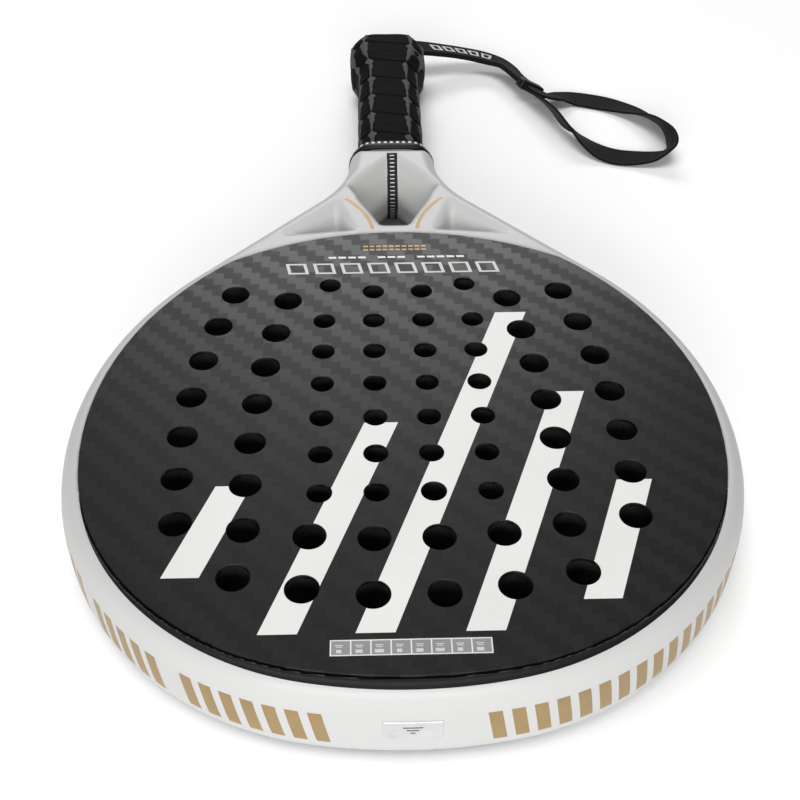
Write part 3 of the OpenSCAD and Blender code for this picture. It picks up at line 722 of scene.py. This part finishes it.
def rim_patch(name, patches, lift, depth, steps=(6, 8)):
    """Thin raised patches on the rim, each as s, z, width, height and lean."""
    verts, faces = [], []
    nu, nv = steps
    for s, z, w, h, lean in patches:
        for layer in (lift, lift - depth):
            first = len(verts)
            verts += [rim_point(s + w * u / nu + lean * v / nv, z + h * v / nv, layer)
                      for v in range(nv + 1) for u in range(nu + 1)]
            grid = [(first + v * (nu + 1) + u, first + v * (nu + 1) + u + 1,
                     first + (v + 1) * (nu + 1) + u + 1, first + (v + 1) * (nu + 1) + u)
                    for v in range(nv) for u in range(nu)]
            faces += grid if layer == lift else [f[::-1] for f in grid]
        top, under = first - (nu + 1) * (nv + 1), first
        ring = ([(u, 0) for u in range(nu)] + [(nu, v) for v in range(nv)]
                + [(nu - u, nv) for u in range(nu)] + [(0, nv - v) for v in range(nv)])
        loop = [v * (nu + 1) + u for u, v in ring]
        faces += [(top + loop[i - 1], under + loop[i - 1], under + loop[i], top + loop[i])
                  for i in range(len(loop))]
    piece = link_mesh(name, verts, faces)
    turn_outwards(piece)
    piece.data.set_sharp_from_angle(angle=math.radians(40))
    return piece

bar_w, bar_h, bar_pitch, bar_lean, bar_z = 4.6, 16.0, 7.6, 2.6, 10.5
bar_count, first_bar = 21, 29
bars = []
for side, gaps in ((-1, (7, 13)), (1, ())):
    for i in range(bar_count):
        if i not in gaps:
            bars.append((side * (first_bar + bar_pitch * i) - bar_w / 2, bar_z, bar_w, bar_h, -bar_lean))
finish_print(rim_patch("rim_bars", bars, 0.06, 0.1), gold_print)

low, high = (Vector(corner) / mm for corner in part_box("tip_badge"))
badge = rim_patch("tip_badge_plate", [(low.x, low.z, high.x - low.x, high.z - low.z, 0)], 0.42, 0.5, (24, 10))
ease = badge.modifiers.new("ease", "BEVEL")
ease.width, ease.segments, ease.limit_method = 0.12 * mm, 2, "ANGLE"
badge_metal = grained_material("brushed_badge", (0.55, 0.55, 0.56), (0.74, 0.74, 0.75),
                               0.4, 0.4, 0.08, 2.0, 1.0)
finish_print(badge, badge_metal)
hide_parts("tip_badge")
ticks = [(-3.2 + 1.2 * k, 21.6 - 1.5 * k, 6.4 - 2.4 * k, 0.5, 0) for k in range(3)]
finish_print(rim_patch("badge_ticks", ticks, 0.46, 0.1, (8, 1)),
             grained_material("badge_ink", (0.02, 0.02, 0.02), (0.05, 0.05, 0.05), 0.4, 1.0, 0.02))

# ---- Rib lines ----
# A fine gold line follows each rib of the throat, on both faces.
line_c, line_r, line_w = (51.9, face_top_y - 2), 42, 1.7
line_proud, line_sunk = 0.07, 0.15
strips = []
for mirror in (1, -1):
    for top in (1, -1):
        angles = np.radians(np.linspace(133.5, 172.5, 36))
        section = [-line_w / 2, -line_w / 4, line_w / 4, line_w / 2]
        flat = np.array([[(line_c[0] + (line_r + u) * np.cos(a), line_c[1] + (line_r + u) * np.sin(a))
                          for u in section + section[::-1]] for a in angles])
        z = surface_height(flat[..., 0], flat[..., 1])
        z[:, :4] += line_proud
        z[:, 4:] -= line_sunk
        z = z if top > 0 else thickness - z
        strips.append(np.stack([mirror * flat[..., 0], flat[..., 1], z], axis=-1) * mm)
for i, strip in enumerate(strips):
    line = closed_loft("rib_line_%d" % (i + 1), strip)
    line.data.set_sharp_from_angle(angle=math.radians(40))
    finish_print(line, gold_print)
    if i == 0:
        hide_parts("rib_stripes")

# ---- Damper strip ----
# A rubber strip lies over the crotch of the fork, from the tape down the
# recess and round to the other side, with fine pale ticks along it.
def crotch_line(lift):
    """The crotch's outline on the middle plane, from the upper side round to the lower."""
    hub = np.array([fork_y - 3.0, middle_z])
    half_strip = np.array([0, 1.3, 2.5])
    line = []
    for turn in np.linspace(math.radians(92), math.radians(268), 61):
        ray = np.array([math.cos(turn), math.sin(turn)])
        near, far = 2.0, 34.0
        for _ in range(30):
            half = (near + far) / 2
            y, z = hub + half * ray
            solid = frame_field(half_strip, np.full(3, y), np.full(3, z)).min() < 0
            near, far = (half, far) if solid else (near, half)
        line.append(hub + near * ray)
    line = np.array(line)
    along = np.gradient(line, axis=0)
    away = np.column_stack([-along[:, 1], along[:, 0]]) / np.linalg.norm(along, axis=1)[:, None]
    away *= np.sign(((line - hub) * away).sum(axis=1))[:, None]
    return line + lift * away, away

strip_top = 0.35
rubber = grained_material("damper_rubber", (0.008, 0.008, 0.008), (0.02, 0.02, 0.02), 0.7, 0.5, 0.2,
                          specular=0.2)
line, away = crotch_line(0)
section = [(-strip_half, -0.3), (-strip_half, 0.2), (-2.35, strip_top), (2.35, strip_top),
           (strip_half, 0.2), (strip_half, -0.3)]
rings = [[(x * mm, (p[0] + h * a[0]) * mm, (p[1] + h * a[1]) * mm) for x, h in section]
         for p, a in zip(line, away)]
damper = closed_loft("damper", rings)
damper.data.set_sharp_from_angle(angle=math.radians(40))
finish_print(damper, rubber)
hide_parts("damper_strip")

def repeat_group():
    """Repeats a small block along a line, its height turned square to the line and to Axis."""
    tree = bpy.data.node_groups.new("repeat_along", "GeometryNodeTree")
    for name, kind in (("Geometry", "Geometry"), ("Count", "Int"), ("Size", "Vector"), ("Axis", "Vector"),
                       ("Material", "Material")):
        tree.interface.new_socket(name, in_out="INPUT", socket_type="NodeSocket" + kind)
    tree.interface.new_socket("Geometry", in_out="OUTPUT", socket_type="NodeSocketGeometry")
    nodes, links = tree.nodes, tree.links
    source, result = nodes.new("NodeGroupInput"), nodes.new("NodeGroupOutput")
    to_curve, spread = nodes.new("GeometryNodeMeshToCurve"), nodes.new("GeometryNodeResampleCurve")
    block, copies = nodes.new("GeometryNodeMeshCube"), nodes.new("GeometryNodeInstanceOnPoints")
    tangent, cross = nodes.new("GeometryNodeInputTangent"), nodes.new("ShaderNodeVectorMath")
    turn, real = nodes.new("FunctionNodeAxesToRotation"), nodes.new("GeometryNodeRealizeInstances")
    paint = nodes.new("GeometryNodeSetMaterial")
    cross.operation = "CROSS_PRODUCT"
    turn.primary_axis, turn.secondary_axis = "X", "Z"
    links.new(source.outputs["Geometry"], to_curve.inputs["Mesh"])
    links.new(to_curve.outputs["Curve"], spread.inputs["Curve"])
    links.new(source.outputs["Count"], spread.inputs["Count"])
    links.new(source.outputs["Size"], block.inputs["Size"])
    links.new(spread.outputs["Curve"], copies.inputs["Points"])
    links.new(block.outputs["Mesh"], copies.inputs["Instance"])
    links.new(tangent.outputs["Tangent"], cross.inputs[0])
    links.new(source.outputs["Axis"], cross.inputs[1])
    links.new(tangent.outputs["Tangent"], turn.inputs["Primary Axis"])
    links.new(cross.outputs["Vector"], turn.inputs["Secondary Axis"])
    links.new(turn.outputs["Rotation"], copies.inputs["Rotation"])
    links.new(copies.outputs["Instances"], real.inputs["Geometry"])
    links.new(real.outputs["Geometry"], paint.inputs["Geometry"])
    links.new(source.outputs["Material"], paint.inputs["Material"])
    links.new(paint.outputs["Geometry"], result.inputs["Geometry"])
    return tree

repeat_along = repeat_group()

def repeated(name, points, closed, count, size, axis, material):
    """Blocks of one size along a line of points, made real as a piece of its own."""
    edges = [(i, i + 1) for i in range(len(points) - 1)] + ([(len(points) - 1, 0)] if closed else [])
    mesh = bpy.data.meshes.new(name)
    mesh.from_pydata([tuple(p) for p in points], edges, [])
    line = bpy.data.objects.new(name + "_line", mesh)
    bpy.context.collection.objects.link(line)
    maker = line.modifiers.new("repeat", "NODES")
    maker.node_group = repeat_along
    values = {"Count": count, "Size": size, "Axis": axis, "Material": material}
    for item in repeat_along.interface.items_tree:
        if item.name in values:
            maker[item.identifier] = values[item.name]
    made = bpy.data.meshes.new_from_object(line.evaluated_get(bpy.context.evaluated_depsgraph_get()))
    bpy.data.objects.remove(line)
    piece = bpy.data.objects.new(name, made)
    bpy.context.collection.objects.link(piece)
    turn_outwards(piece)
    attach(piece, "racket")
    return piece

ticks = [(0, y * mm, z * mm) for y, z in crotch_line(strip_top)[0][2:59]]
repeated("damper_ticks", ticks, False, 26, (0.5 * mm, 2.2 * mm, 0.12 * mm), (1, 0, 0),
         pale_print)

# ---- Handle ----
# The shaft is a foam-filled carbon octagon with a cushioned base grip. A tacky
# black overgrip is wound over it edge over edge, and swells over the butt.
def octagon(half_w, half_h, corner, count=96, power=14):
    """Points of an octagon with eased corners, across and up, about the handle's axis."""
    angle = 2 * np.pi * np.arange(count) / count
    slanted_far = (half_w + half_h - corner) / math.sqrt(2)
    reach = np.zeros(count)
    for k in range(8):
        far = (half_w, slanted_far, half_h, slanted_far)[k % 4]
        reach += np.clip(np.cos(angle - k * math.pi / 4) / far, 0, None) ** power
    return np.column_stack([np.cos(angle), np.sin(angle)]) * (reach ** (-1 / power))[:, None]

def stations(table, at):
    """Half width, half height and corner at one distance, from a table of them."""
    table = np.array(table, float)
    return [np.interp(at, table[:, 0], table[:, k]) for k in (1, 2, 3)]

def sleeve(name, outer, inner):
    """A closed tube about the handle's axis, from rings of y and of points across and up."""
    rings = [[(x * mm, y * mm, (middle_z + z) * mm) for x, z in ring] for y, ring in outer + inner[::-1]]
    return closed_loft(name, rings, closed_path=True)

grip_start, grip_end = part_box("overgrip")[0][1] / mm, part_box("overgrip")[1][1] / mm
grip_table = [(-130, 17.3, 15.5, 7), (-44, 17.3, 15.5, 7), (-36, 17.5, 15.6, 7), (-30, 19.3, 16.05, 7.4),
              (-24, 21.4, 16.5, 8), (-18, 22, 16.6, 8), (-6, 22, 16.6, 8), (-2.2, 21, 16, 8.2),
              (0, 18.8, 14.6, 7.2)]
pitch, wrap_step, film = 19.5, 0.55, 0.72
lap_at, lap_rise, crease_depth, butt_edge = 0.34, 0.07, 0.1, 6
around = np.arange(96) / 96
outer, inner = [], []
for y in np.append(np.arange(grip_start, grip_end, 0.45), grip_end):
    size = stations(grip_table, y - grip_end)
    if y <= grip_end - butt_edge:
        size = np.mean([stations(grip_table, y - grip_end + shift) for shift in (-4, -2, 0, 2, 4)], axis=0)
    turn = (y / pitch - around + lap_at) % 1
    ease = np.clip(turn / lap_rise, 0, 1)
    step = ease * ease * (3 - 2 * ease) * (1 - turn) ** 0.8
    crease = np.sin(2 * np.pi * (around * 5 + y / 23)) * np.sin(2 * np.pi * (around * 3 - y / 9.1))
    ring = octagon(*size)
    reach = np.hypot(ring[:, 0], ring[:, 1])
    outer.append((y, ring * (1 + (wrap_step * (step - 1) + crease_depth * crease - 0.06) / reach)[:, None]))
    inner.append((y, ring * (1 - film / reach)[:, None]))
wrap = sleeve("wound_overgrip", outer, inner)
finish_print(wrap, grained_material("tacky_film", (0.001, 0.001, 0.0012), (0.004, 0.004, 0.0045),
                                    0.72, 0.45, 0.3, 3.0, specular=0.05))
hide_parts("overgrip")

dress("base_grip", grained_material("cushion", (0.03, 0.03, 0.03), (0.06, 0.06, 0.06), 0.8, 1.2, 0.3))
dress("handle_shell", grained_material("bare_laminate", (0.01, 0.01, 0.01), (0.03, 0.03, 0.03),
                                       0.4, 0.8, 0.2))
dress("handle_foam", grained_material("handle_foam", (0.3, 0.29, 0.25), (0.45, 0.43, 0.38), 0.9, 0.8, 0.6))
steel = grained_material("pin_steel", (0.45, 0.45, 0.46), (0.62, 0.62, 0.63), 0.3, 0.4, 0.05, 2.0, 1.0)
dress("strap_pin", steel)
dress("grip_staples", steel)

# ---- Butt cap ----
# A moulded plastic plug closes the shaft, with a slot that lets the strap out.
cap = eased_copy("moulded_cap", "butt_cap", 0.3 * mm)
finish_print(cap, grained_material("cap_plastic", (0.005, 0.005, 0.005), (0.012, 0.012, 0.012), 0.4, 0.8, 0.1,
                                   specular=0.25))
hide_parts("butt_cap")

# ---- Finishing tape and collar ----
# Grey cloth tape binds the end of the grip to the fork, and a rubber collar
# with a printed row of pale dashes is stretched over it.
flare_table = [(0, 20.4, 16.2, 8), (4, 19.6, 15.9, 7.8), (12, 17, 15, 7)]
tape_start, tape_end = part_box("finishing_tape")[0][1] / mm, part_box("finishing_tape")[1][1] / mm

def flare_ring(y, lift):
    size = stations(flare_table, y - fork_y)
    return (y, octagon(size[0] + lift, size[1] + lift, size[2]))

tape_rows = np.linspace(tape_start, tape_end, 12)
outer = [flare_ring(y, 0.68 - 0.12 * (y in (tape_start, tape_end))) for y in tape_rows]
inner = [flare_ring(y, 0.22) for y in tape_rows]
tape = sleeve("cloth_tape", outer, inner)
tape.data.set_sharp_from_angle(angle=math.radians(50))
finish_print(tape, grained_material("tape_cloth", (0.16, 0.16, 0.16), (0.26, 0.26, 0.26), 0.8, 0.6, 0.4))
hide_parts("finishing_tape")

ring_start, ring_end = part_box("collar_ring")[0][1] / mm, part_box("collar_ring")[1][1] / mm
ring_t, ring_gap = 2.0, 0.8
outer, inner = [], []
for f in (0, 0.04, 0.12, 0.25, 0.5, 0.75, 0.88, 0.96, 1):
    y = ring_start + f * (ring_end - ring_start)
    outer.append(flare_ring(y, ring_gap + ring_t * (1 - 0.75 * abs(2 * f - 1) ** 7)))
    inner.append(flare_ring(y, ring_gap))
collar = sleeve("rubber_collar", outer, inner)
collar.data.set_sharp_from_angle(angle=math.radians(50))
finish_print(collar, grained_material("collar_rubber", (0.003, 0.003, 0.003), (0.009, 0.009, 0.009),
                                      0.45, 0.6, 0.1, specular=0.2))
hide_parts("collar_ring")
ring_middle = (ring_start + ring_end) / 2
y, ring = flare_ring(ring_middle, ring_gap + ring_t - 0.02)
repeated("collar_dashes", [(x * mm, y * mm, (middle_z + z) * mm) for x, z in ring], True, 44,
         (1.5 * mm, 3.0 * mm, 0.08 * mm), (0, 1, 0), pale_print)

# ---- Keeper ----
# A moulded sleeve slides along both layers of the strap and sets the loop's size.
keeper_back, keeper_len = 4.2, 6.0
def eased_slot(half_w, half_h, corner, steps=5):
    """A rectangle with round corners, as across and up."""
    points = []
    for k, (u, h) in enumerate(((1, 1), (-1, 1), (-1, -1), (1, -1))):
        for i in range(steps + 1):
            angle = (k + i / steps) * math.pi / 2
            points.append((u * (half_w - corner) + corner * math.cos(angle),
                           h * (half_h - corner) + corner * math.sin(angle)))
    return points

along, across, normal = stem_line.along[-1], stem_line.across[-1], stem_line.normal[-1]
centre = stem_line.line[-1] - keeper_back * mm * along
half = keeper_len / 2
eased = half - 0.4
# Half width, half height and corner of the sleeve's outside and of its bore.
body, body_end, bore, bore_end = (8.9, 2.8, 1.4), (8.5, 2.4, 1.1), (7.8, 1.7, 0.6), (8.1, 2.0, 0.8)
rings = []
for s, size in ((-half, body_end), (-eased, body), (eased, body), (half, body_end),
                (half, bore_end), (eased, bore), (-eased, bore), (-half, bore_end)):
    rings.append([centre + (s * along + u * across + h * normal) * mm for u, h in eased_slot(*size)])
keeper = closed_loft("moulded_keeper", rings, closed_path=True)
keeper.data.set_sharp_from_angle(angle=math.radians(50))
keeper.data.materials.append(grained_material("keeper_plastic", (0.004, 0.004, 0.004), (0.01, 0.01, 0.01),
                                              0.45, 0.8, 0.1, specular=0.25))
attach(keeper, "keeper")
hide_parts("strap_keeper")

# ---- Print on the strap ----
# A row of pale outlined blocks is printed on the webbing near the butt.
outlines = []
for i in range(5):
    outlines += hollow(40 + 8.0 * i, -3.4, w=6.2, h=6.8, lean=1.4, line=1.1)
strap_print = flat_prisms("strap_print", outlines, 1.3, 1.42)
for vertex in strap_print.data.vertices:
    vertex.co = stem_line.at(vertex.co.x, vertex.co.y, vertex.co.z)
finish_print(strap_print, pale_print)
